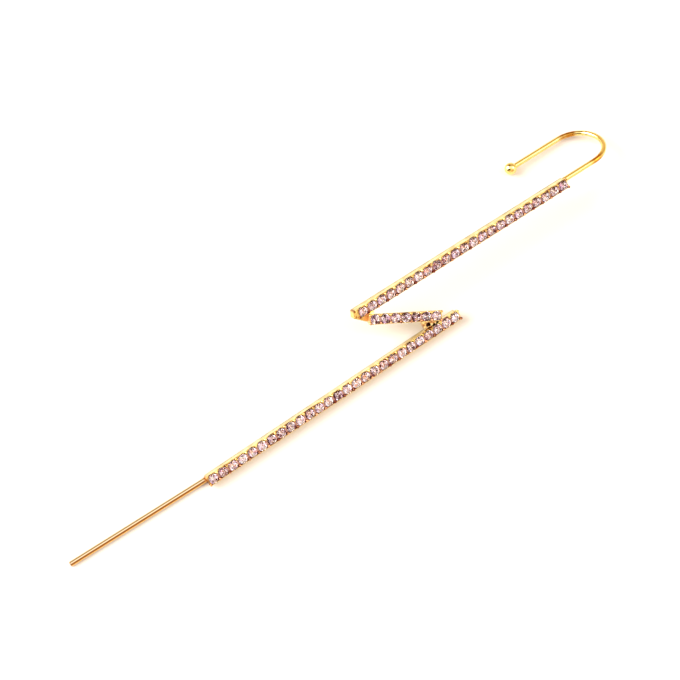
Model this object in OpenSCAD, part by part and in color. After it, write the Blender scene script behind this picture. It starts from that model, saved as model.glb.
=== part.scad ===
// Hook earring: three straight stone-set bars joined in a zigzag, with a straight
// lobe pin at the low end and a round ear hook with a ball tip at the high end.
// It is modelled as it lies on a table: the lower bar, the pin and the ball touch z = 0.
// X runs along the lower bar, from the pin to the hook. Sizes are in millimetres.

/* [Stones] */
// Girdle diameter of every stone
stone_d = 1.07; // [0.9:0.01:1.07]
// Distance between stones on the two long bars
stone_pitch = 1.25; // [1.2:0.01:1.35]
// Distance between stones on the middle bar
middle_pitch = 1.18; // [1.18:0.01:1.3]
// Stones on the lower bar
lower_count = 27; // [26:1:27]
// Stones on the middle bar
middle_count = 7; // [7:1:7]
// Stones on the upper bar
upper_count = 23; // [22:1:25]
// Wider spacing of the lower bar's stones near the pin and closer near the hook
lower_drift = 0.0017; // [0:0.0001:0.0018]

/* [Bars] */
// Width of a bar across its stones
bar_w = 1.16; // [1.14:0.02:1.3]
// Depth of a bar from its front face to its back
bar_d = 1; // [0.95:0.05:1.2]
// Bevel along the two back edges
back_bevel = 0.12; // [0.05:0.01:0.2]
// Metal past the middle of an end stone
bar_end = 0.62; // [0.6:0.01:0.7]
// Plain metal past the first stone of the upper bar, at the corner
corner_end = 0.9; // [0.8:0.05:1.1]
// Radius of a claw bead
bead_r = 0.16; // [0.14:0.01:0.16]

/* [Zigzag] */
// Turn of the lower bar's face towards the viewer's side
lower_roll = 40; // [37:1:44]
// Turn of the middle bar's face
middle_roll = 30; // [28:1:32]
// Turn of the upper bar's face
upper_roll = 46; // [42:1:50]
// First upper stone, along the lower bar from its first stone
upper_along = 23.81; // [23.5:0.01:24]
// Upper bar, sideways from the lower bar
upper_across = 5.56; // [5.5:0.01:5.65]
// Height of the upper bar's front face at its first stone
upper_height = 4.17; // [4.1:0.01:4.25]
// Fall of the upper bar towards the hook, in degrees
upper_fall = 1.25; // [1:0.05:1.5]
// Sideways lean of the upper bar, in degrees
upper_lean = -0.8; // [-1:0.1:0]
// First middle stone, along the lower bar
middle_along = 24.47; // [24.3:0.01:24.6]
// First middle stone, sideways from the lower bar
middle_across = 4.18; // [4.1:0.01:4.25]
// Height of the middle bar's front face at its first stone
middle_height = 3.72; // [3.65:0.01:3.8]
// Fall of the middle bar towards the lower bar, in degrees
middle_fall = 13.4; // [13:0.1:14]
// Lean of the middle bar towards the lower bar, in degrees
middle_lean = -26; // [-27:0.5:-25]

/* [Ear hook] */
// Diameter of the hook's and the pin's wire
wire_d = 0.6; // [0.5:0.05:0.7]
// Straight wire past the last upper stone
hook_straight = 4.95; // [4:0.05:6]
// Radius of the bend on the bar's side
near_bend_r = 2.72; // [2.6:0.01:3]
// Radius of the bend on the ball's side
far_bend_r = 3.44; // [3.2:0.01:3.8]
// Straight wire from the bend to the middle of the ball
hook_return = 6.65; // [6:0.05:8]
// Diameter of the ball tip
ball_d = 1.4; // [1.2:0.1:1.6]

/* [Lobe pin] */
// Free length of the pin
pin_length = 17.13; // [15:0.01:19]
// Sideways lean of the pin, in degrees
pin_lean = -1.7; // [-3:0.1:0]
// Pin, sideways from the lower bar's stones, where it leaves the bar
pin_across = 0.82; // [0.75:0.01:0.9]

/* [Hidden] */
$fn = 48;

// A stone's parts as shares of its diameter
crown_share = 0.16;
girdle_share = 0.04;
pavilion_share = 0.43;
table_share = 0.56;
star_share = 0.78;
lower_facet_share = 0.25;
// Height of the girdle's lower edge over the bar's front face
girdle_lift = 0.03;
// Clearance of a seat round its stone
seat_gap = 0.035;
// Hole behind each stone, through the bar's back
azure_d = 0.46;
// Post under a claw bead
post_r = 0.13;
post_sink = 0.3;
bead_lift = 0.08;
// Claw beads, sideways from a bar's middle line
bead_across = 0.43;
// The two claws at a row's end: past the end stone, and sideways
end_claw = 0.56;
end_claw_across = 0.47;
// Cut across a bar's end corners
end_bevel = 0.2;
// Turn from each stone to the next, so that their facets don't line up
stone_turn = 17;
// Solder between the bars: its front face, its back face and the depth of its pits
solder_front = -0.3;
solder_back = -0.85;
pit_depth = 0.4;
// The solder's pits on the middle bar: along it, sideways, diameter
SOLDER_PITS = [[6.2, -0.98, 0.5], [6.88, -0.98, 0.3], [7.27, -0.76, 0.3]];
// Wire's middle line behind the upper bar's front face, and above the bar's middle line
hook_depth = 0.68;
hook_side = 0.235;
// Length of wire soldered inside the end of a bar
hook_root = 2;
pin_root = 1.4;
// Tapered root of the pin, which shows a little past the bar, and bevel round its blunt tip
root_taper = 0.06;
pin_neck = 0.1;
pin_bevel = 0.08;

stone_r = stone_d / 2;
crown_h = crown_share * stone_d;
girdle_h = girdle_share * stone_d;
pavilion_h = pavilion_share * stone_d;
stone_top = girdle_lift + girdle_h + crown_h;
wire_r = wire_d / 2;
ball_r = ball_d / 2;

// The stones' tables lie over the line y = 0 of the lower bar
lower_across = stone_top * sin(lower_roll);
// The lower bar rests on a back edge: the higher of the bevel's two edges sets its height
lower_height = max(bar_w / 2 * sin(lower_roll) + (bar_d - back_bevel) * cos(lower_roll),
    (bar_w / 2 - back_bevel) * sin(lower_roll) + bar_d * cos(lower_roll));

// Where the hook's wire leaves the last upper stone, sideways and in height
hook_across = hook_depth * sin(upper_roll) + hook_side * cos(upper_roll);
hook_rise = hook_side * sin(upper_roll) - hook_depth * cos(upper_roll);
upper_length = (upper_count - 1) * stone_pitch;
hook_gap = near_bend_r + far_bend_r;
// Distance of the ball along the hook's wire from the last upper stone
ball_along = hook_straight + near_bend_r - far_bend_r - hook_return;
// Height of the wire's line over the ball, and the turn that lays the ball on the table
wire_height = upper_height + hook_rise * cos(upper_fall)
    - (upper_length + ball_along) * sin(upper_fall);
hook_roll = -asin((wire_height - ball_r) / (hook_gap * cos(upper_fall)));

// Middle of the whole part's box on the table
pin_tip_x = -bar_end - pin_length * cos(pin_lean);
wire_x = upper_along + upper_length + hook_rise * sin(upper_fall);
nose_x = wire_x + hook_straight + near_bend_r;
box_mid_x = (pin_tip_x + nose_x + wire_r) / 2;
wire_y = upper_across + hook_across + (upper_length + ball_along) * sin(upper_lean);
ball_y = wire_y + hook_gap * cos(hook_roll);
bead_y = lower_across - end_claw_across * cos(lower_roll) - bead_lift * sin(lower_roll) - bead_r;
box_mid_y = (bead_y + ball_y + ball_r) / 2;

// Place of stone i along a row, whose ends drift leaves where they are
function along(i, count, pitch, drift = 0) = i * pitch + drift * i * (count - 1 - i);

// Moves the part's origin to the middle of its box
module on_origin()
    translate([-box_mid_x, -box_mid_y, 0]) children();

// A frame that lies on a bar's front face at its first stone: x along the bar, z out of the face
module at_lower()
    on_origin() translate([0, lower_across, lower_height]) rotate([lower_roll, 0, 0]) children();

module at_middle()
    on_origin() translate([middle_along, middle_across, middle_height])
        rotate([middle_roll, middle_fall, middle_lean]) children();

module at_upper()
    on_origin() translate([upper_along, upper_across, upper_height])
        rotate([upper_roll, upper_fall, upper_lean]) children();

// A bar's body from x = from to x = to: bevelled along the back and across its end corners
module bar_body(from, to) {
    beyond = 0.1;
    side = bar_w / 2 - end_bevel;
    wide = bar_w / 2 + beyond;
    inset = end_bevel + beyond;
    intersection() {
        translate([from, 0, 0]) rotate([90, 0, 90]) linear_extrude(to - from)
            polygon([
                [-bar_w / 2, 0],
                [-bar_w / 2, -bar_d + back_bevel],
                [-bar_w / 2 + back_bevel, -bar_d],
                [bar_w / 2 - back_bevel, -bar_d],
                [bar_w / 2, -bar_d + back_bevel],
                [bar_w / 2, 0]
            ]);
        translate([0, 0, -bar_d - beyond]) linear_extrude(bar_d + 2 * beyond)
            polygon([
                [from, -side], [from + inset, -wide], [to - inset, -wide], [to, -side],
                [to, side], [to - inset, wide], [from + inset, wide], [from, side]
            ]);
    }
}

// A seat that follows a stone's pavilion, with its hole through the back
module seat() {
    seat_r = stone_r + seat_gap - girdle_lift * stone_r / pavilion_h;
    slope = pavilion_h / stone_r;
    above = 0.1;
    deep = (seat_r - azure_d / 4) * slope;
    translate([0, 0, -deep])
        cylinder(h = deep + above, r1 = azure_d / 4, r2 = seat_r + above / slope);
    translate([0, 0, -bar_d - above]) cylinder(h = bar_d, d = azure_d);
}

// A claw bead on its post
module claw() {
    translate([0, 0, -post_sink]) cylinder(h = post_sink + bead_lift, r = post_r);
    translate([0, 0, bead_lift]) sphere(r = bead_r);
}

// Two claws at each gap between stones and at the ends of the row
module claws(count, pitch, first = 0, drift = 0)
    for (i = [first : count], side = [-1, 1]) {
        at_end = i == 0 || i == count;
        x = i == 0 ? -end_claw
            : i == count ? (count - 1) * pitch + end_claw
            : along(i - 0.5, count, pitch, drift);
        translate([x, side * (at_end ? end_claw_across : bead_across), 0]) claw();
    }

// A bar with its seats cut, for a row of count stones
module set_bar(count, pitch, from, to, drift = 0)
    difference() {
        bar_body(-from, (count - 1) * pitch + to);
        for (i = [0 : count - 1]) translate([along(i, count, pitch, drift), 0, 0]) seat();
    }

// Gold plate of the upper corner, flush with the upper bar's face, with three claws.
// It also fills the space between the upper bar and the middle bar's first stone.
module corner_plate() {
    translate([0, 0, solder_back]) linear_extrude(-solder_back - 0.02)
        polygon([
            [-corner_end - 0.1, bar_w / 2],
            [-corner_end - 0.36, -0.2],
            [-0.1, -1.28],
            [0.5, -1.15],
            [1.15, -0.85],
            [1.15, -0.4],
            [-0.3, bar_w / 2]
        ]);
    translate([-corner_end + 0.12, 0.38, -0.04]) claw();
    translate([-corner_end - 0.14, -0.12, -0.04]) claw();
    translate([-stone_pitch / 2, -bead_across, 0]) claw();
}

module lower_bar()
    at_lower() {
        set_bar(lower_count, stone_pitch, bar_end, bar_end, lower_drift);
        claws(lower_count, stone_pitch, drift = lower_drift);
    }

module middle_bar()
    at_middle() {
        set_bar(middle_count, middle_pitch, bar_end, bar_end);
        claws(middle_count, middle_pitch);
    }

// Solder between the middle bar's last stones and the lower bar's side, with small deep pits
module lower_solder()
    at_middle() difference() {
        translate([0, 0, solder_back]) linear_extrude(solder_front - solder_back)
            polygon([[5.3, -0.5], [7.6, -0.5], [7.6, -0.66], [5.75, -1.4], [5.6, -1.1]]);
        for (pit = SOLDER_PITS) translate([pit[0], pit[1], solder_front - pit_depth])
            cylinder(h = pit_depth + 0.1, d = pit[2]);
    }

module upper_bar()
    at_upper() {
        difference() {
            union() {
                set_bar(upper_count, stone_pitch, corner_end, bar_end);
                corner_plate();
            }
            seat();
            translate([stone_pitch, 0, 0]) seat();
        }
        claws(upper_count, stone_pitch, 1);
    }

// A quarter turn of wire in the hook's plane
module wire_bend(r, start)
    rotate([0, 0, start]) rotate_extrude(angle = 90) translate([r, 0]) circle(d = wire_d);

// Hook: straight wire, two tangent quarter bends, straight return and ball
module ear_hook()
    on_origin() translate([upper_along, upper_across, upper_height])
        rotate([0, upper_fall, upper_lean])
            translate([upper_length, hook_across, hook_rise])
                rotate([hook_roll, 0, 0]) {
                    translate([-hook_root, 0, 0]) rotate([0, 90, 0])
                        cylinder(h = hook_root + hook_straight, r = wire_r);
                    translate([hook_straight, near_bend_r, 0]) wire_bend(near_bend_r, -90);
                    translate([hook_straight + near_bend_r - far_bend_r, near_bend_r, 0])
                        wire_bend(far_bend_r, 0);
                    translate([ball_along, hook_gap, 0]) rotate([0, 90, 0])
                        cylinder(h = hook_return, r = wire_r);
                    translate([ball_along, hook_gap, 0]) sphere(r = ball_r);
                }

// Straight pin that lies on the table, soldered into the lower bar's back
module lobe_pin()
    on_origin() translate([-bar_end, pin_across, wire_r]) rotate([0, 0, pin_lean])
        rotate([0, -90, 0]) {
            translate([0, 0, -pin_root])
                cylinder(h = pin_root + pin_neck, r1 = wire_r - root_taper, r2 = wire_r);
            translate([0, 0, pin_neck])
                cylinder(h = pin_length - pin_bevel - pin_neck, r = wire_r);
            translate([0, 0, pin_length - pin_bevel])
                cylinder(h = pin_bevel, r1 = wire_r, r2 = wire_r - pin_bevel);
        }

// Soldered metal: three bars, hook and pin in one solid
module gold_frame()
    color("gold") union() {
        lower_bar();
        middle_bar();
        upper_bar();
        lower_solder();
        ear_hook();
        lobe_pin();
    }

// A ring of n points
function ring(n, r, z, turn = 0) =
    [for (i = [0 : n - 1]) [r * cos(turn + i * 360 / n), r * sin(turn + i * 360 / n), z]];

// Round brilliant cut: a table, 32 crown facets, a faceted girdle and 24 pavilion facets.
// Its girdle's lower edge is at z = 0.
module brilliant() {
    half = 22.5;
    table_r = table_share * stone_r;
    star_r = star_share * stone_r;
    low_r = lower_facet_share * stone_r;
    top_z = girdle_h + crown_h;
    star_z = top_z - crown_h * (star_r * cos(half) - table_r) / (stone_r - table_r);
    low_z = -pavilion_h * (1 - low_r * cos(half) / stone_r);
    points = concat(
        ring(8, table_r, top_z),
        ring(8, star_r, star_z, half),
        ring(16, stone_r, girdle_h),
        ring(16, stone_r, 0),
        ring(8, low_r, low_z, half),
        [[0, 0, -pavilion_h]]
    );
    star = 8;
    rim = 16;
    base = 32;
    low = 48;
    culet = 56;
    faces = concat(
        [[7, 6, 5, 4, 3, 2, 1, 0]],
        [for (i = [0 : 7]) [i, (i + 1) % 8, star + i]],
        [for (i = [0 : 7]) [i, star + i, rim + 2 * i, star + (i + 7) % 8]],
        [for (i = [0 : 7]) [star + i, rim + 2 * i + 1, rim + 2 * i]],
        [for (i = [0 : 7]) [star + i, rim + (2 * i + 2) % 16, rim + 2 * i + 1]],
        [for (i = [0 : 15]) [rim + i, rim + (i + 1) % 16, base + (i + 1) % 16, base + i]],
        [for (i = [0 : 7]) [base + 2 * i, base + 2 * i + 1, low + i]],
        [for (i = [0 : 7]) [base + 2 * i + 1, base + (2 * i + 2) % 16, low + i]],
        [for (i = [0 : 7]) [base + 2 * i, low + i, culet, low + (i + 7) % 8]]
    );
    polyhedron(points = points, faces = faces);
}

// A row of loose stones, each turned a little from the last
module stone_row(count, pitch, drift = 0)
    for (i = [0 : count - 1])
        translate([along(i, count, pitch, drift), 0, girdle_lift])
            rotate([0, 0, i * stone_turn]) brilliant();

module stones_lower()
    color("thistle") at_lower() stone_row(lower_count, stone_pitch, lower_drift);

module stones_middle()
    color("thistle") at_middle() stone_row(middle_count, middle_pitch);

module stones_upper()
    color("thistle") at_upper() stone_row(upper_count, stone_pitch);

gold_frame();
stones_lower();
stones_middle();
stones_upper();
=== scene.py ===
import math
import bpy
from mathutils import Euler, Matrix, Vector


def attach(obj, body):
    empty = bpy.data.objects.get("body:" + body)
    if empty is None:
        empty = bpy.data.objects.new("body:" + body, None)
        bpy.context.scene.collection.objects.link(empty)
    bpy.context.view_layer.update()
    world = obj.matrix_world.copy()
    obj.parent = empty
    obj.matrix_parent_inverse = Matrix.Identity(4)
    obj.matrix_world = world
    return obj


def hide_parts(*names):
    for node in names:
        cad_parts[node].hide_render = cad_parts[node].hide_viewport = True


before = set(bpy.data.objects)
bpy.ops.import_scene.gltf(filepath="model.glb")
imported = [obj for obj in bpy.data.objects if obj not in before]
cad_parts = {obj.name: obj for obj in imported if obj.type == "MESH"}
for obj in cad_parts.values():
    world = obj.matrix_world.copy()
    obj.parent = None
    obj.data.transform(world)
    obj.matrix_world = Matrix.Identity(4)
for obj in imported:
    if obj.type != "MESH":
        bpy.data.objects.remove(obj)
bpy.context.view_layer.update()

# Lengths are in metres, or in mm where a note says so, and angles in degrees. The table is z = 0.
MM = 0.001

# Camera: above the earring, on the pin's side of it
CAMERA_TARGET = (0.115 * MM, -0.166 * MM, 0.0)
CAMERA_DISTANCE = 280 * MM
CAMERA_ELEVATION = 66.0
CAMERA_AZIMUTH = 35.886
CAMERA_LENS = 134.07
CAMERA_CLIP = (0.01, 20)
SENSOR_WIDTH = 36
HALF_PIXEL = 0.5 / 680

# Picture's right and the way away from the camera, on the table
PICTURE_RIGHT = (math.cos(math.radians(CAMERA_AZIMUTH)), -math.sin(math.radians(CAMERA_AZIMUTH)), 0)
AWAY = (math.sin(math.radians(CAMERA_AZIMUTH)), math.cos(math.radians(CAMERA_AZIMUTH)), 0)

# Middle of the earring's box in the bars' own measure, in mm
BOX_MIDDLE = (20.7655, 5.86127)


class Spot:
    """A place on the earring with axes of its own: x along the metal, z out of its front face."""

    def __init__(self, start, turn):
        self.place = Vector((start[0] - BOX_MIDDLE[0], start[1] - BOX_MIDDLE[1], start[2])) * MM
        self.turn = Euler([math.radians(t) for t in turn], "XYZ")


class Bar(Spot):
    """A stone-set bar, placed by the middle of its first stone. Pitch and drift are in mm."""

    def __init__(self, name, start, turn, count, pitch, drift, seed):
        super().__init__(start, turn)
        self.name = name
        self.count = count
        self.pitch = pitch * MM
        self.drift = drift * MM
        self.seed = seed
        self.row = (count - 1) * pitch

    def past_row(self, full, faded):
        """Fade in before the first stone and fade out after the last, in mm along the bar."""
        return (-faded, -full), (self.row + full, self.row + faded)


LOWER = Bar("lower", (0, 0.15684, 1.06173), (40, 0, 0), 27, 1.25, 0.0017, 5)
MIDDLE = Bar("middle", (24.47, 4.18, 3.72), (30, 13.4, -26), 7, 1.18, 0, 11)
UPPER = Bar("upper", (23.81, 5.56, 4.17), (46, 1.25, -0.8), 23, 1.25, 0, 23)
BARS = (LOWER, MIDDLE, UPPER)
PIN = Spot((-0.62, 0.82, 0.3), (0, 0, 178.3))
HOOK = Spot((51.3055, 5.83127, 3.27), (-25.1738, 1.25, -0.8))

# Stones. Heights (crown, girdle, pavilion) are shares of the stone's width, and the table, star and
# low rings are shares of its radius. A half step is half of an eighth of a turn.
STONE_R = 0.535 * MM
GIRDLE_LIFT = 0.03 * MM
STONE_TILT = 2.5
CROWN = 0.16
GIRDLE = 0.04
PAVILION = 0.43
TABLE = 0.56
STAR = 0.78
LOW = 0.25
HALF_STEP = 22.5

# Painted reflections and fire on the stones' back facets, and the tints of their crowns
FIRE_SCALE = 5200
PAINTED_DARK_REFLECTION = (0.06, 0.0, 0.015)
PAINTED_PLUM_REFLECTION = (0.14, 0.02, 0.05)
CORAL_STEP = 0.04
BLUSH_STEP = 0.12
FIRE_PALE = ((0.60, (1.0, 1.0, 1.0)), (0.85, (1.0, 0.90, 0.97)), (0.97, (0.76, 0.50, 0.66)))
CROWN_TINT = (1.0, 0.96, 0.95)
CROWN_GLOSS = (0.60, 0.38, 0.38)
STONE_IOR = 2.16
STONE_ROUGHNESS = (0.0, 0.02)

# Soft-sided boxes of tinted metal, in mm on a spot's x, y and z. Each axis has the two values where
# the box fades in and the two where it fades out, and None leaves that side open.
OPEN = (None, None)
PIN_WIRE = (((0.0, 0.2), None), (None, (1.0, 1.2)), (None, (0.32, 0.34)))
HOOK_WIRE = (((0.0, 0.2), None), OPEN, ((-0.36, -0.32), (0.32, 0.36)))
PIN_END = (((-0.82, -0.80), (-0.56, -0.44)), OPEN, OPEN)
CORNER = (((-1.30, -1.20), (-0.50, -0.44)), ((-0.70, -0.60), None), (None, (0.05, 0.15)))
OUTSIDE_UPPER = (OPEN, (None, (-0.62, -0.54)), OPEN)
END_PLATE = (((-2.60, -2.50), (-0.66, -0.58)), ((-1.00, -0.90), (0.90, 1.00)),
             ((-1.30, -1.20), (1.20, 1.30)))
SOLDER_FLAT = (OPEN, OPEN, ((-0.92, -0.86), (-0.27, -0.24)))
SOLDER = (((5.2, 5.25), (7.7, 7.8)), ((-1.5, -1.45), (-0.60, -0.56)), OPEN)
# These boxes bound painted shade on the near claws, far rim and back edge, and a painted floor reflection
# on the far wall
NEAR_CLAWS = (OPEN, (None, (-0.2, 0.0)), ((0.01, 0.05), None))
FAR_RIM = (OPEN, ((0.40, 0.48), None), ((-0.16, -0.08), None))
FAR_WALL = (OPEN, ((0.40, 0.48), None), (None, (-0.16, -0.10)))
BACK_EDGE = (OPEN, ((0.40, 0.48), None), (None, (-0.72, -0.62)))
# Depth that bounds the dark painted reflection in the joint
JOINT_REFLECTION_DEPTH = (OPEN, OPEN, ((-0.30, -0.20), None))

# A bar's metal and its stones' seats: how far they go past the row, and their boxes' y and z
METAL_PAST = (0.76, 0.80)
METAL_SECTION = (((-0.70, -0.66), (0.66, 0.70)), (None, (0.30, 0.34)))
SEAT_PAST = (0.44, 0.50)
SEAT_SECTION = (((-0.56, -0.50), (0.50, 0.56)), ((-0.95, -0.90), (0.01, 0.05)))

# Fades by distance in mm: across a seat from its middle line for its painted shade, and along the rim
# from a stone's middle for the painted shade beside it
SEAT_SHADE = (0.16, 0.34)
BESIDE_STONE = (0.22, 0.38)

# Round marks, in mm: along, across, full and faded radius
# Dark painted reflections on the hook's bends
HOOK_PAINTED_REFLECTIONS = ((5.30, 0.05, 0.45, 1.15), (5.80, 5.80, 0.45, 0.80), (4.95, 6.05, 0.10, 0.70))
PLATE_CLAWS = ((-0.90, 0.52, 0.08, 0.19), (-1.05, -0.10, 0.08, 0.19))
# Black painted shade in the solder web's hole and in two gaps beside it
SOLDER_PAINTED_SHADE_SPOTS = ((6.2, -0.98, 0.26, 0.29), (6.88, -0.98, 0.16, 0.19), (7.27, -0.76, 0.16, 0.19))
# Dark painted reflection of the middle bar's end on the lower bar's far rim
JOINT_PAINTED_REFLECTION = (31.35, 0.60, 0.30, 0.60)

# Surface of the gold: its polish, the roughness of the seats and end plate, the cast waves and the duller
# solder and pin
POLISH = (0.05, 0.13)
SEAT_AND_PLATE_ROUGHNESS = 0.35
WAVE_STRENGTH = 0.12
WAVE_HEIGHT = 0.03 * MM
CORNER_METALLIC = 0.4
PIN_METALLIC = 0.7
WIRE_R = 0.3 * MM

# Grains: noise scale and detail
CLOUDS = (900, 4)
CAST_WAVES = (2600, 2)
BLOTS = (1500, 1)
CLAW_STAIN = (1100, 1)
WALL_GRAIN = (1300, 2)
SOLDER_GRAIN = (2200, 2)
STONE_POLISH = (4000, 1)
TABLE_GRAIN = (60, 2)

# Colours that follow a grain: the metal's own, and painted shade and reflections on the claws, rim, far
# wall and back edge
GOLD_CLOUDS = ((0.3, (0.98, 0.70, 0.22)), (0.7, (1.0, 0.76, 0.30)))
# Reddish brown painted shade on the near claws
NEAR_CLAW_PAINTED_SHADE = ((0.44, (0.24, 0.05, 0.03)), (0.60, (0.94, 0.50, 0.26)))
# Dark painted shade beside each stone on the far rim, where the gap at the stone's edge lies in shade
RIM_PAINTED_SHADE = ((0.44, (0.18, 0.08, 0.02)), (0.56, (1.0, 0.70, 0.20)))
STAINED_CLAW = ((0.36, (0.36, 0.17, 0.05)), (0.47, (0.84, 0.56, 0.20)))
BRIGHT_CLAW = (0.58, (1.0, 0.86, 0.38))
MIDDLE_CLAW = (0.58, (0.74, 0.50, 0.20))
# Far side wall: mottled, and paler than the gold as a painted reflection of the white floor
WALL_OCHRE_AND_REFLECTION = ((0.36, (0.76, 0.58, 0.26)), (0.50, (0.90, 0.74, 0.38)), (0.66, (1.0, 0.86, 0.48)))
# Dark painted shade along the back edge
BACK_EDGE_PAINTED_SHADE = ((0.40, (0.36, 0.33, 0.20)), (0.62, (0.74, 0.62, 0.34)))
SOLDER_CLOUDS = ((0.40, (0.50, 0.20, 0.06)), (0.52, (0.90, 0.56, 0.20)), (0.64, (1.0, 0.80, 0.38)))

# Painted reflections: bright and dark lines across the drawn pin
PIN_PAINTED_REFLECTIONS = (
    (0.06, (1.0, 0.80, 0.46)),
    (0.26, (0.66, 0.48, 0.24)),
    (0.38, (0.46, 0.26, 0.10)),
    (0.46, (0.50, 0.30, 0.13)),
    (0.53, (1.0, 0.76, 0.46)),
    (0.63, (1.0, 0.72, 0.42)),
    (0.70, (0.36, 0.13, 0.03)),
    (0.91, (0.36, 0.13, 0.03)),
    (0.97, (1.0, 0.60, 0.16)),
)

# Plain tints: the metal's own, and painted dark reflections and shade on the hook, in the seats, in the
# joint and in the solder web's hole and gaps
# Dark painted reflection on the hook's bends
DARK_REFLECTION_BROWN = (0.58, 0.24, 0.03)
# Painted shade in the seats: brown in the middle, near black at the sides
SEAT_MIDDLE = (0.62, 0.34, 0.28)
SEAT_SIDES = (0.13, 0.03, 0.02)
PIN_END_BROWN = (0.70, 0.36, 0.12)
CORNER_ORANGE = (0.96, 0.52, 0.18)
PLATE_CLAW_BROWN = (0.40, 0.17, 0.04)
# Dark painted reflection of the middle bar's end
JOINT_REFLECTION_MAROON = (0.20, 0.05, 0.04)
# Black painted shade
PAINTED_SHADE_BLACK = (0.04, 0.01, 0.005)

# Room: brightness runs from the camera's side of the table to the far side
ROOM_SIDES = (
    (0.0, (1.15, 0.94, 0.68)),
    (0.24, (1.05, 0.88, 0.66)),
    (0.31, (1.34, 1.40, 1.50)),
    (0.62, (1.34, 1.40, 1.50)),
    (0.68, (0.74, 0.55, 0.30)),
    (0.90, (0.74, 0.56, 0.32)),
    (1.0, (0.92, 0.74, 0.52)),
)

# What stands round the table, as the polished ball shows it: compass angle from the picture's
# right (90 is away from the camera), height, full and faded radius in degrees, and colour
ROOM_THINGS = (
    (126, 50, 10, 26, (0.24, 0.14, 0.04)),    # dark door behind
    (303, 12, 12, 26, (0.62, 0.40, 0.24)),    # chair on the near right
    (243, 32, 16, 26, (0.05, 0.02, 0.01)),    # photographer
    (226, 6, 20, 30, (0.03, 0.01, 0.005)),    # photographer's sleeve
)

# Softboxes: compass direction counterclockwise from +X (the picture's left is at 144), height,
# size in metres, power and colour
SOFTBOX_DISTANCE = 0.9
SOFTBOXES = (
    ("left_softbox", 140, 34, 0.70, 11.0, (0.94, 0.98, 1.0)),
    ("right_softbox", -36, 42, 0.4, 2.6, (1.0, 0.84, 0.62)),
)

# Table top
TABLE_REACH = 3.0
TABLE_WHITE = ((0.3, (0.835, 0.785, 0.735)), (0.7, (0.845, 0.795, 0.745)))
TABLE_ROUGHNESS = 0.5
TABLE_GLOSS = 0.3


# ---------- node trees ----------

class Steps:
    """Adds nodes to a tree, one step of a recipe at a time."""

    def __init__(self, tree):
        self.tree = tree

    def give(self, socket, value):
        """Gives a socket a plain value, a colour or the output of another node."""
        if isinstance(value, bpy.types.NodeSocket):
            self.tree.links.new(value, socket)
        elif socket.type == "RGBA":
            socket.default_value = (*value, 1)
        else:
            socket.default_value = value

    def add(self, kind, inputs=(), **settings):
        """Adds a node, makes its settings and fills its named or numbered inputs."""
        node = self.tree.nodes.new(kind)
        for name, value in settings.items():
            setattr(node, name, value)
        for name, value in dict(inputs).items():
            self.give(node.inputs[name], value)
        return node

    def maths(self, operation, *values):
        return self.add("ShaderNodeMath", enumerate(values), operation=operation).outputs["Value"]

    def chain(self, operation, first, *others):
        """An operation on two values, carried on over the rest. A single value stays as it is."""
        for other in others:
            first = self.maths(operation, first, other)
        return first

    def spread(self, value, low, high, start=0.0, end=1.0):
        """Carries a value from start..end over to low..high, and holds it there outside."""
        inputs = {"Value": value, "From Min": start, "From Max": end, "To Min": low, "To Max": high}
        return self.add("ShaderNodeMapRange", inputs).outputs["Result"]

    def noise(self, place, scale, detail):
        inputs = {"Vector": place, "Scale": scale, "Detail": detail}
        return self.add("ShaderNodeTexNoise", inputs).outputs["Fac"]

    def ramp(self, factor, stops):
        node = self.add("ShaderNodeValToRGB", {"Fac": factor})
        elements = node.color_ramp.elements
        while len(elements) < len(stops):
            elements.new(0.5)
        for element, (position, colour) in zip(elements, stops):
            element.position = position
            element.color = (*colour, 1)
        return node.outputs["Color"]

    def mix(self, factor, first, second):
        return self.add("ShaderNodeMix", {0: factor, 6: first, 7: second}, data_type="RGBA").outputs[2]

    def dot(self, vector, direction):
        inputs = {0: vector, 1: direction}
        return self.add("ShaderNodeVectorMath", inputs, operation="DOT_PRODUCT").outputs["Value"]

    def place(self):
        return self.add("ShaderNodeTexCoord").outputs["Object"]

    def axes(self, spot):
        """The x, y and z of a spot on the earring."""
        inputs = {"Vector": self.place(), "Location": spot.place, "Rotation": spot.turn}
        mapping = self.add("ShaderNodeMapping", inputs, vector_type="TEXTURE")
        split = self.add("ShaderNodeSeparateXYZ", {"Vector": mapping.outputs["Vector"]})
        return split.outputs["X"], split.outputs["Y"], split.outputs["Z"]

    def box(self, axes, ranges):
        """1 inside a soft-sided box. The table of boxes says how its ranges are given."""
        sides = []
        for value, (fade_in, fade_out) in zip(axes, ranges):
            if fade_in:
                sides.append(self.spread(value, 0, 1, fade_in[0] * MM, fade_in[1] * MM))
            if fade_out:
                sides.append(self.spread(value, 1, 0, fade_out[0] * MM, fade_out[1] * MM))
        return self.chain("MULTIPLY", *sides)

    def disc(self, axes, along, across, full, faded):
        """1 near a point on a spot's x and y, fading between two radii, all in mm."""
        dx = self.maths("SUBTRACT", axes[0], along * MM)
        dy = self.maths("SUBTRACT", axes[1], across * MM)
        squares = self.maths("ADD", self.maths("MULTIPLY", dx, dx), self.maths("MULTIPLY", dy, dy))
        return self.spread(self.maths("SQRT", squares), 1, 0, full * MM, faded * MM)


def new_material(name):
    material = bpy.data.materials.new(name)
    material.use_nodes = True
    material.node_tree.nodes.clear()
    steps = Steps(material.node_tree)
    shader = steps.add("ShaderNodeBsdfPrincipled")
    steps.add("ShaderNodeOutputMaterial", {"Surface": shader.outputs["BSDF"]})
    return material, steps, shader


# ---------- gold ----------

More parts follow.
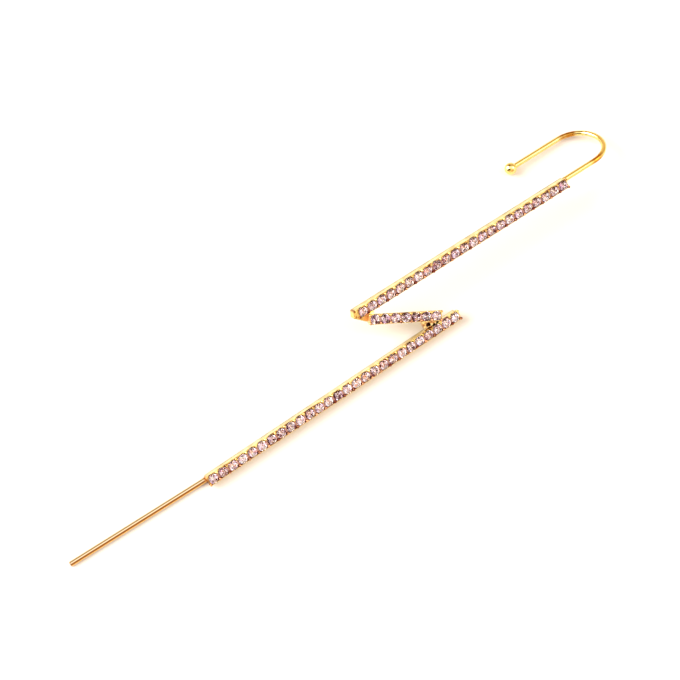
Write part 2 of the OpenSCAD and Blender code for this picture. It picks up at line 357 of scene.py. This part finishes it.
def wire_tints(steps, colour):
    """Paints reflections on the drawn pin as bright and dark lines, and dark reflections on the hook's
    bends. Also gives the pin's own mask.
    """
    axes = steps.axes(PIN)
    pin = steps.box(axes, PIN_WIRE)
    across = steps.spread(axes[1], 0, 1, -WIRE_R, WIRE_R)
    # Painted reflections across the drawn pin
    colour = steps.mix(pin, colour, steps.ramp(across, PIN_PAINTED_REFLECTIONS))
    axes = steps.axes(HOOK)
    wire = steps.box(axes, HOOK_WIRE)
    # Dark painted reflections on the hook's bends
    for spot in HOOK_PAINTED_REFLECTIONS:
        colour = steps.mix(steps.maths("MULTIPLY", wire, steps.disc(axes, *spot)), colour, DARK_REFLECTION_BROWN)
    return colour, pin


def beside_stone(steps, bar, x):
    """1 beside a stone's middle and 0 at the claws between stones, along a row whose spacing drifts."""
    number = steps.maths("DIVIDE", x, bar.pitch)
    drift = steps.maths("MULTIPLY", bar.drift, steps.maths("SUBTRACT", bar.count - 1, number))
    even = steps.maths("SUBTRACT", x, steps.maths("MULTIPLY", number, drift))
    to_stone = steps.maths("PINGPONG", even, bar.pitch / 2)
    return steps.spread(to_stone, 1, 0, *[reach * MM for reach in BESIDE_STONE])


def bar_tints(steps, colour, place, clouds):
    """Tints the bars: painted shade in the seats, near black at their sides; painted shade on the near
    claws; stained far claws with painted shade beside each stone; a paler, mottled far wall as a painted
    reflection of the floor; dark painted shade on the back edge.
    """
    blots = steps.noise(place, *BLOTS)
    # Painted shade for the near claws, and for the far rim beside each stone
    near_claw_shade, brown = steps.ramp(blots, NEAR_CLAW_PAINTED_SHADE), steps.ramp(blots, RIM_PAINTED_SHADE)
    claw_stain = steps.noise(place, *CLAW_STAIN)
    wall_tone_and_reflection = steps.ramp(steps.noise(place, *WALL_GRAIN), WALL_OCHRE_AND_REFLECTION)
    back_edge_shade = steps.ramp(clouds, BACK_EDGE_PAINTED_SHADE)
    seats = []
    for bar in BARS:
        axes = steps.axes(bar)
        metal = steps.box(axes, (bar.past_row(*METAL_PAST), *METAL_SECTION))
        seat = steps.maths("MULTIPLY", metal, steps.box(axes, (bar.past_row(*SEAT_PAST), *SEAT_SECTION)))
        across = steps.maths("ABSOLUTE", axes[1])
        shade = steps.spread(across, 0, 1, *[reach * MM for reach in SEAT_SHADE])
        # Painted shade in the seats, darker towards their sides
        painted_seat_shade = steps.mix(shade, SEAT_MIDDLE, SEAT_SIDES)
        far_claw = steps.ramp(claw_stain, (*STAINED_CLAW, MIDDLE_CLAW if bar is MIDDLE else BRIGHT_CLAW))
        # Far rim: painted shade beside each stone, stained claws between
        rim = steps.mix(beside_stone(steps, bar, axes[0]), far_claw, brown)
        colour = steps.mix(seat, colour, painted_seat_shade)
        # Painted shade on the near claws and beside each stone, a painted floor reflection on the far
        # wall, painted shade on the back edge
        for box, tint in ((NEAR_CLAWS, near_claw_shade), (FAR_RIM, rim), (FAR_WALL, wall_tone_and_reflection), (BACK_EDGE, back_edge_shade)):
            colour = steps.mix(steps.maths("MULTIPLY", metal, steps.box(axes, box)), colour, tint)
        seats.append(seat)
    return colour, steps.chain("MAXIMUM", *seats)


def joint_tints(steps, colour, place):
    """Tints the bars' ends and solder, and paints a dark reflection of the middle bar's end on the lower
    bar's far rim and black shade in the solder web's hole and gaps. Also gives the masks of the corner
    and the end plate.
    """
    lower, middle, upper = [steps.axes(bar) for bar in BARS]
    colour = steps.mix(steps.box(lower, PIN_END), colour, PIN_END_BROWN)
    corner = steps.maths("MULTIPLY", steps.box(upper, OUTSIDE_UPPER), steps.box(middle, CORNER))
    colour = steps.mix(corner, colour, CORNER_ORANGE)
    plate = steps.box(upper, END_PLATE)
    claws = steps.chain("MAXIMUM", *[steps.disc(upper, *claw) for claw in PLATE_CLAWS])
    colour = steps.mix(steps.maths("MULTIPLY", plate, claws), colour, PLATE_CLAW_BROWN)
    # Dark painted reflection of the middle bar's end on the lower bar's far rim
    joint_reflection = steps.maths("MULTIPLY", steps.disc(lower, *JOINT_PAINTED_REFLECTION), steps.box(lower, JOINT_REFLECTION_DEPTH))
    colour = steps.mix(joint_reflection, colour, JOINT_REFLECTION_MAROON)
    flat = steps.box(middle, SOLDER_FLAT)
    solder = steps.maths("MULTIPLY", flat, steps.box(middle, SOLDER))
    colour = steps.mix(solder, colour, steps.ramp(steps.noise(place, *SOLDER_GRAIN), SOLDER_CLOUDS))
    # Black painted shade in the solder web's hole and gaps
    shade_spots = steps.chain("MAXIMUM", *[steps.disc(middle, *pit) for pit in SOLDER_PAINTED_SHADE_SPOTS])
    colour = steps.mix(steps.maths("MULTIPLY", flat, shade_spots), colour, PAINTED_SHADE_BLACK)
    return colour, corner, plate


def polished_gold():
    """Yellow gold plating: bright, with cloudy polish and cast waves, painted shade in the seats and on
    the claws, and painted reflections on the pin, hook and far walls.
    """
    material, steps, shader = new_material("polished_gold")
    place = steps.place()
    clouds = steps.noise(place, *CLOUDS)
    colour, pin = wire_tints(steps, steps.ramp(clouds, GOLD_CLOUDS))
    colour, seats = bar_tints(steps, colour, place, clouds)
    colour, corner, plate = joint_tints(steps, colour, place)
    steps.give(shader.inputs["Base Color"], colour)
    dull = steps.maths("MULTIPLY", steps.maths("MAXIMUM", seats, plate), SEAT_AND_PLATE_ROUGHNESS)
    rough = steps.maths("MAXIMUM", steps.spread(clouds, *POLISH), dull)
    steps.give(shader.inputs["Roughness"], rough)
    waves = steps.noise(place, *CAST_WAVES)
    inputs = {"Height": waves, "Strength": WAVE_STRENGTH, "Distance": WAVE_HEIGHT}
    bump = steps.add("ShaderNodeBump", inputs)
    steps.give(shader.inputs["Normal"], bump.outputs["Normal"])
    bright = steps.maths("MINIMUM", steps.spread(corner, 1.0, CORNER_METALLIC),
                         steps.spread(pin, 1.0, PIN_METALLIC))
    steps.give(shader.inputs["Metallic"], bright)
    return material


# ---------- other materials ----------

def cut_stone(name, dark, coral, blush):
    """Clear cut stone with painted reflections and fire over its back facets: dark painted reflections in
    the given share, then coral, blush and lilac.
    """
    material, steps, shader = new_material(name)
    place = steps.place()
    back = steps.add("ShaderNodeAttribute", attribute_name="back_facet").outputs["Fac"]
    patches = steps.add("ShaderNodeTexVoronoi", {"Vector": place, "Scale": FIRE_SCALE})
    chance = steps.add("ShaderNodeSeparateColor", {"Color": patches.outputs["Color"]})
    warm = ((dark + CORAL_STEP, coral), (dark + BLUSH_STEP, blush))
    # Painted reflections and fire: dark, plum, coral, blush and pale patches
    fire = steps.ramp(chance.outputs["Red"], ((0.0, PAINTED_DARK_REFLECTION), (dark, PAINTED_PLUM_REFLECTION), *warm, *FIRE_PALE))
    steps.give(shader.inputs["Base Color"], steps.mix(back, CROWN_TINT, fire))
    # Light turns back at the back facets as in a mirror
    steps.give(shader.inputs["Metallic"], back)
    polish = steps.noise(place, *STONE_POLISH)
    steps.give(shader.inputs["Roughness"], steps.spread(polish, *STONE_ROUGHNESS))
    steps.give(shader.inputs["Specular Tint"], CROWN_GLOSS)
    shader.inputs["IOR"].default_value = STONE_IOR
    shader.inputs["Transmission Weight"].default_value = 1.0
    return material


def white_table():
    """Plain white table top with a very faint grain."""
    material, steps, shader = new_material("white_table")
    grain = steps.noise(steps.place(), *TABLE_GRAIN)
    steps.give(shader.inputs["Base Color"], steps.ramp(grain, TABLE_WHITE))
    shader.inputs["Roughness"].default_value = TABLE_ROUGHNESS
    shader.inputs["Specular IOR Level"].default_value = TABLE_GLOSS
    return material


def dress(node, material):
    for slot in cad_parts[node].material_slots:
        slot.material = material


# ---------- stones ----------

def ring(count, radius, height, turn=0.0):
    points = []
    for i in range(count):
        a = math.radians(turn + i * 360 / count)
        points.append((radius * math.cos(a), radius * math.sin(a), height))
    return points


def brilliant_template():
    """Round brilliant: table, 32 crown facets, faceted girdle and 24 pavilion facets."""
    r, d, half = STONE_R, 2 * STONE_R, math.radians(HALF_STEP)
    top = (GIRDLE + CROWN) * d
    table_r, star_r, low_r = TABLE * r, STAR * r, LOW * r
    star_z = top - CROWN * d * (star_r * math.cos(half) - table_r) / (r - table_r)
    low_z = -PAVILION * d * (1 - low_r * math.cos(half) / r)
    points = ring(8, table_r, top) + ring(8, star_r, star_z, HALF_STEP) + ring(16, r, GIRDLE * d) + \
        ring(16, r, 0) + ring(8, low_r, low_z, HALF_STEP) + [(0, 0, -PAVILION * d)]
    star, rim, base, low, culet = 8, 16, 32, 48, 56
    faces = [tuple(range(8))]
    for i in range(8):
        j, before = (i + 1) % 8, (i + 7) % 8
        faces.append((j, i, star + i))
        faces.append((rim + 2 * i, star + i, i, star + before))
        faces.append((rim + 2 * i, rim + 2 * i + 1, star + i))
        faces.append((rim + 2 * i + 1, rim + (2 * i + 2) % 16, star + i))
        faces.append((base + 2 * i + 1, base + 2 * i, low + i))
        faces.append((base + (2 * i + 2) % 16, base + 2 * i + 1, low + i))
        faces.append((culet, low + i, base + 2 * i, low + before))
    for i in range(16):
        j = (i + 1) % 16
        faces.append((base + i, base + j, rim + j, rim + i))
    mesh = bpy.data.meshes.new("brilliant_template")
    mesh.from_pydata(points, [], faces)
    mesh.update()
    back = mesh.attributes.new("back_facet", "FLOAT", "FACE")
    for face in mesh.polygons:
        back.data[face.index].value = 1.0 if face.center.z < 0 else 0.0
    return bpy.data.objects.new("brilliant_template", mesh)


def row_tree():
    """Geometry Nodes tree that sets a row of stones, and the identifiers of its inputs by name."""
    tree = bpy.data.node_groups.new("stone_row", "GeometryNodeTree")
    sockets = {}
    for name, kind in (("Stone", "Object"), ("Count", "Int"), ("Pitch", "Float"), ("Drift", "Float"),
                       ("Lift", "Float"), ("Tilt", "Float"), ("Seed", "Int"), ("Place", "Vector"),
                       ("Turn", "Rotation"), ("Finish", "Material")):
        socket = tree.interface.new_socket(name=name, in_out="INPUT", socket_type="NodeSocket" + kind)
        sockets[name] = socket.identifier
    tree.interface.new_socket(name="Geometry", in_out="OUTPUT", socket_type="NodeSocketGeometry")
    steps = Steps(tree)
    given = steps.add("NodeGroupInput").outputs

    # Places: x = index * pitch + drift * index * (count - 1 - index)
    index = steps.add("GeometryNodeInputIndex").outputs["Index"]
    left = steps.chain("SUBTRACT", given["Count"], 1, index)
    bulge = steps.maths("MULTIPLY", given["Drift"], steps.maths("MULTIPLY", index, left))
    x = steps.maths("ADD", steps.maths("MULTIPLY", index, given["Pitch"]), bulge)
    place = steps.add("ShaderNodeCombineXYZ", {"X": x, "Z": given["Lift"]}).outputs["Vector"]
    line = steps.add("GeometryNodeMeshLine", {"Count": given["Count"]}, mode="OFFSET").outputs["Mesh"]
    points = steps.add("GeometryNodeSetPosition", {"Geometry": line, "Position": place})

    # A little tilt and any turn for each stone
    less = steps.maths("MULTIPLY", given["Tilt"], -1.0)
    low = steps.add("ShaderNodeCombineXYZ", {"X": less, "Y": less})
    high = steps.add("ShaderNodeCombineXYZ", {"X": given["Tilt"], "Y": given["Tilt"], "Z": math.tau})
    limits = {"Min": low.outputs["Vector"], "Max": high.outputs["Vector"], "Seed": given["Seed"]}
    tilt = steps.add("FunctionNodeRandomValue", limits, data_type="FLOAT_VECTOR")
    turn = steps.add("FunctionNodeEulerToRotation", {"Euler": tilt.outputs["Value"]})

    stone = steps.add("GeometryNodeObjectInfo", {"Object": given["Stone"]})
    row = steps.add("GeometryNodeInstanceOnPoints", {
        "Points": points.outputs["Geometry"],
        "Instance": stone.outputs["Geometry"],
        "Rotation": turn.outputs["Rotation"],
    })
    moved = steps.add("GeometryNodeTransform", {
        "Geometry": row.outputs["Instances"],
        "Translation": given["Place"],
        "Rotation": given["Turn"],
    })
    real = steps.add("GeometryNodeRealizeInstances", {"Geometry": moved.outputs["Geometry"]})
    finish = steps.add("GeometryNodeSetMaterial", {
        "Geometry": real.outputs["Geometry"],
        "Material": given["Finish"],
    })
    steps.add("NodeGroupOutput", {"Geometry": finish.outputs["Geometry"]})
    return tree, sockets


def plain_mesh(name, holder):
    """Turns a modifier's result into a plain mesh object at the origin."""
    depsgraph = bpy.context.evaluated_depsgraph_get()
    mesh = bpy.data.meshes.new_from_object(holder.evaluated_get(depsgraph))
    mesh.name = name
    piece = bpy.data.objects.new(name, mesh)
    bpy.context.scene.collection.objects.link(piece)
    holder.modifiers.clear()
    bpy.data.objects.remove(holder)
    return piece


def stone_row(bar, template, tree, sockets, material):
    holder = bpy.data.objects.new(bar.name + "_holder", bpy.data.meshes.new(bar.name + "_holder"))
    bpy.context.scene.collection.objects.link(holder)
    nodes = holder.modifiers.new("row", "NODES")
    nodes.node_group = tree
    for name, value in (("Stone", template), ("Count", bar.count), ("Pitch", bar.pitch),
                        ("Drift", bar.drift), ("Lift", GIRDLE_LIFT), ("Tilt", math.radians(STONE_TILT)),
                        ("Seed", bar.seed), ("Place", bar.place), ("Turn", bar.turn),
                        ("Finish", material)):
        nodes[sockets[name]] = value
    piece = plain_mesh("cut_stones_" + bar.name, holder)
    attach(piece, "root")
    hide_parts("stones_" + bar.name)


# ---------- room ----------

def floor():
    mesh = bpy.data.meshes.new("table_top")
    side = TABLE_REACH
    mesh.from_pydata([(-side, -side, 0), (side, -side, 0), (side, side, 0), (-side, side, 0)],
                     [], [(0, 1, 2, 3)])
    top = bpy.data.objects.new("table_top", mesh)
    bpy.context.scene.collection.objects.link(top)
    mesh.materials.append(white_table())


def room_world():
    """White blind from left over the top to right, brown far side, pale near side, and dark things."""
    world = bpy.data.worlds.new("room")
    world.use_nodes = True
    world.node_tree.nodes.clear()
    steps = Steps(world.node_tree)
    way = steps.add("ShaderNodeTexCoord").outputs["Generated"]
    colour = steps.ramp(steps.spread(steps.dot(way, AWAY), 0, 1, -1, 1), ROOM_SIDES)
    for compass, height, full, faded, patch in ROOM_THINGS:
        a, e = math.radians(compass), math.radians(height)
        towards = (Vector(PICTURE_RIGHT) * math.cos(a) + Vector(AWAY) * math.sin(a)) * math.cos(e)
        towards.z = math.sin(e)
        share = steps.spread(steps.dot(way, towards), 0, 1,
                             math.cos(math.radians(faded)), math.cos(math.radians(full)))
        colour = steps.mix(share, colour, patch)
    light = steps.add("ShaderNodeBackground", {"Color": colour, "Strength": 1.0})
    steps.add("ShaderNodeOutputWorld", {"Surface": light.outputs["Background"]})
    bpy.context.scene.world = world


def softbox(name, towards, elevation, size, power, colour):
    """Soft square light that shines on the earring from a compass direction and height."""
    a, e = math.radians(towards), math.radians(elevation)
    place = Vector((math.cos(a) * math.cos(e), math.sin(a) * math.cos(e), math.sin(e))) * SOFTBOX_DISTANCE
    data = bpy.data.lights.new(name, "AREA")
    data.shape = "SQUARE"
    data.size = size
    data.energy = power
    data.color = colour
    lamp = bpy.data.objects.new(name, data)
    lamp.location = place
    lamp.rotation_mode = "QUATERNION"
    lamp.rotation_quaternion = place.to_track_quat("Z", "Y")
    bpy.context.scene.collection.objects.link(lamp)


def camera():
    a, e = math.radians(CAMERA_AZIMUTH), math.radians(CAMERA_ELEVATION)
    back = Vector((-math.sin(a) * math.cos(e), -math.cos(a) * math.cos(e), math.sin(e)))
    data = bpy.data.cameras.new("camera")
    data.lens = CAMERA_LENS
    data.sensor_width = SENSOR_WIDTH
    data.shift_x = -HALF_PIXEL
    data.shift_y = HALF_PIXEL
    data.clip_start, data.clip_end = CAMERA_CLIP
    view = bpy.data.objects.new("camera", data)
    view.location = Vector(CAMERA_TARGET) + back * CAMERA_DISTANCE
    view.rotation_mode = "QUATERNION"
    view.rotation_quaternion = back.to_track_quat("Z", "Y")
    bpy.context.scene.collection.objects.link(view)
    bpy.context.scene.camera = view


dress("gold_frame", polished_gold())
# The stone for each bar, with its own share of painted dark reflections
stones = {
    LOWER: cut_stone("cut_stone", 0.11, (0.98, 0.58, 0.42), (1.0, 0.85, 0.80)),
    MIDDLE: cut_stone("cut_stone_deep", 0.26, (0.92, 0.72, 0.54), (0.98, 0.90, 0.84)),
    UPPER: cut_stone("cut_stone_light", 0.08, (0.98, 0.58, 0.42), (1.0, 0.85, 0.80)),
}
template = brilliant_template()
tree, sockets = row_tree()
for bar in BARS:
    dress("stones_" + bar.name, stones[bar])
    stone_row(bar, template, tree, sockets, stones[bar])
bpy.data.objects.remove(template)
floor()
room_world()
for given in SOFTBOXES:
    softbox(*given)
camera()
bpy.context.scene.view_settings.view_transform = "Standard"
